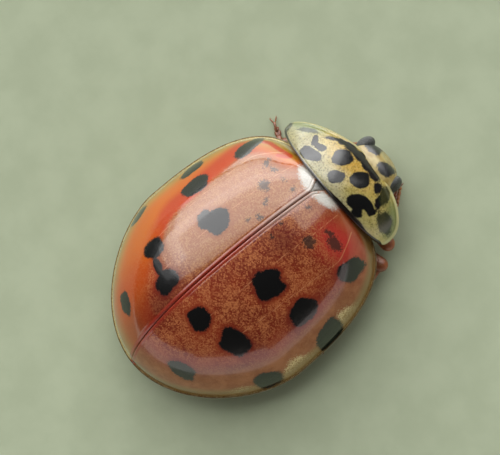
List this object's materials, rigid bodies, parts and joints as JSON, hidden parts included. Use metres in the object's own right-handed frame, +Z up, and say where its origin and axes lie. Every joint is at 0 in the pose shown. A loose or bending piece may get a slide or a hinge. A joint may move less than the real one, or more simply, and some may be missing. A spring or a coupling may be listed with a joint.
{
  "type": "cream-streaked ladybird, sixteen-spot form",
  "caption": "Life-size still model of a cream-streaked ladybird at rest: domed orange-red wing cases with dark spots, ochre spotted pronotum, head tucked down and legs drawn in under the rim.",
  "frame": {"origin": "on the ground under the middle of the body, in the plane of the wing-case seam", "axes": "+Z up, -Y towards the head, +X towards the insect's left side; the soles of the feet lie on z = 0"},
  "size_m": [0.0044, 0.0062, 0.0023],
  "materials": {
    "wing_case": "waxy chitin, orange-red with near-black spots and a cream margin, finely punctured, glossy",
    "pronotum": "ochre chitin with black spots and clear horn-coloured rims, glossy",
    "scutellum": "grey-brown chitin, satin",
    "head": "cream chitin with black marks, satin gloss",
    "eye": "dark compound eye, fine lenses, glossy",
    "antenna": "orange-brown chitin with fine hairs",
    "mouthparts": "brown chitin",
    "underside": "dark brown chitin, finely haired, satin",
    "abdomen": "red-brown chitin in overlapping plates, satin",
    "leg": "orange-brown chitin with fine hairs, satin"
  },
  "bodies": {
    "root": {"elytron_left": "wing_case", "elytron_right": "wing_case", "scutellum": "scutellum", "pronotum": "pronotum", "fore_breast": "underside", "hind_breast": "underside", "abdomen": "abdomen", "head": "head", "eye_left": "eye", "eye_right": "eye", "antenna_left": "antenna", "antenna_right": "antenna", "mouthparts": "mouthparts", "femur_fore_left": "leg", "tibia_fore_left": "leg", "tarsus_fore_left": "leg", "femur_fore_right": "leg", "tibia_fore_right": "leg", "tarsus_fore_right": "leg", "femur_middle_left": "leg", "tibia_middle_left": "leg", "tarsus_middle_left": "leg", "femur_middle_right": "leg", "tibia_middle_right": "leg", "tarsus_middle_right": "leg", "femur_hind_left": "leg", "tibia_hind_left": "leg", "tarsus_hind_left": "leg", "femur_hind_right": "leg", "tibia_hind_right": "leg", "tarsus_hind_right": "leg"}
  },
  "joints": []
}
